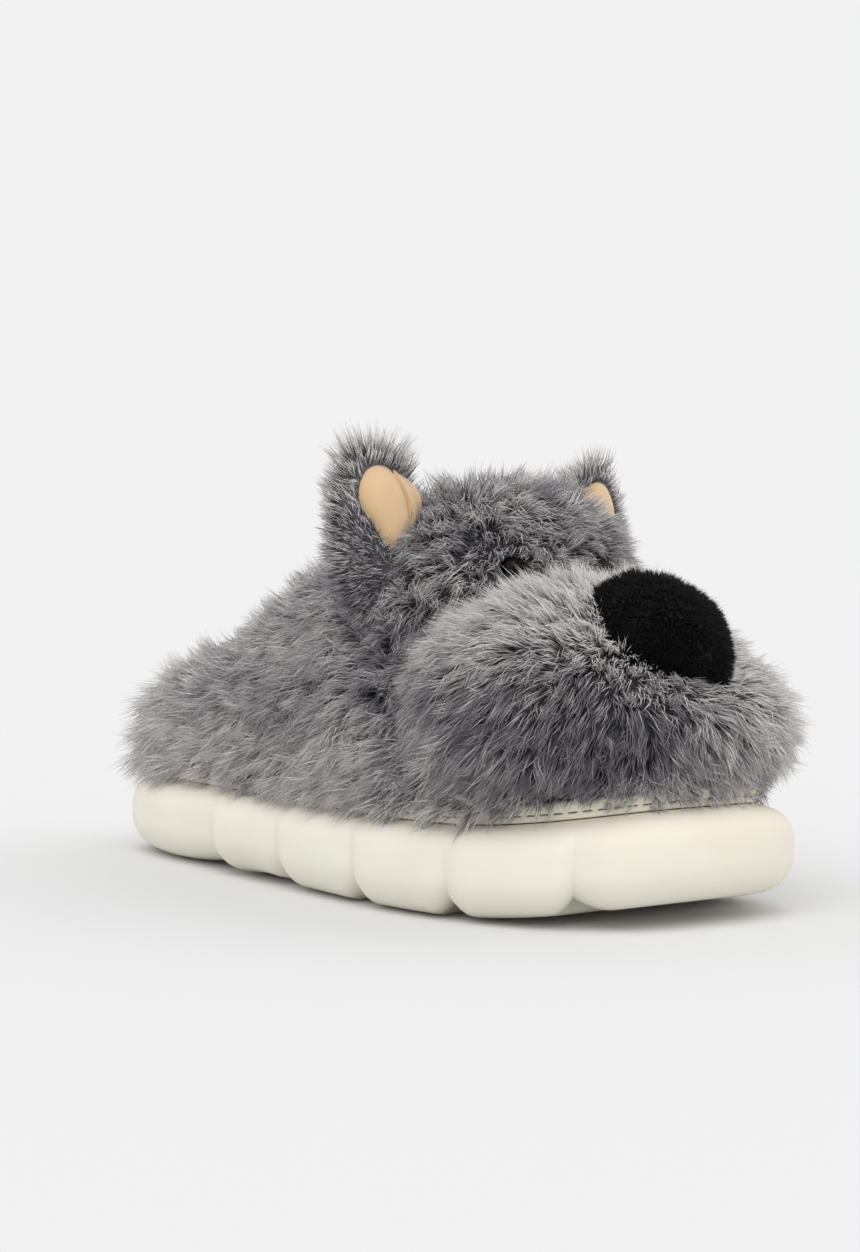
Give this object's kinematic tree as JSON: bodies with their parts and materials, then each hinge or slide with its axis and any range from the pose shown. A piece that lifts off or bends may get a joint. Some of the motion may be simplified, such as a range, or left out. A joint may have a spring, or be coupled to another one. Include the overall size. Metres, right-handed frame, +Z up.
{
  "type": "novelty slipper",
  "caption": "Plush closed slipper with a stuffed animal head, round ears, a soft nose and a thick lobed foam sole.",
  "frame": {"origin": "on the floor, under the middle of the slipper's bounding box", "axes": "+Z up, -Y towards the toe, -X towards the outer side of the right foot"},
  "size_m": [0.1344, 0.2884, 0.1417],
  "materials": {
    "sole_foam": "matt moulded foam",
    "rand": "matt, stitched",
    "insole": "short brushed pile",
    "grey_fur": "long soft pile",
    "dark_fur": "long soft pile",
    "black_plush": "dense short pile",
    "peach_velour": "velour",
    "bead": "polished"
  },
  "bodies": {
    "root": {"sole": "sole_foam", "rand": "rand", "insole": "insole", "upper": "grey_fur", "muzzle": "grey_fur", "forehead": "dark_fur", "nose": "black_plush", "eye_right": "bead", "eye_left": "bead", "ear_right": "grey_fur", "ear_left": "grey_fur", "ear_lining_right": "peach_velour", "ear_lining_left": "peach_velour"}
  },
  "joints": []
}
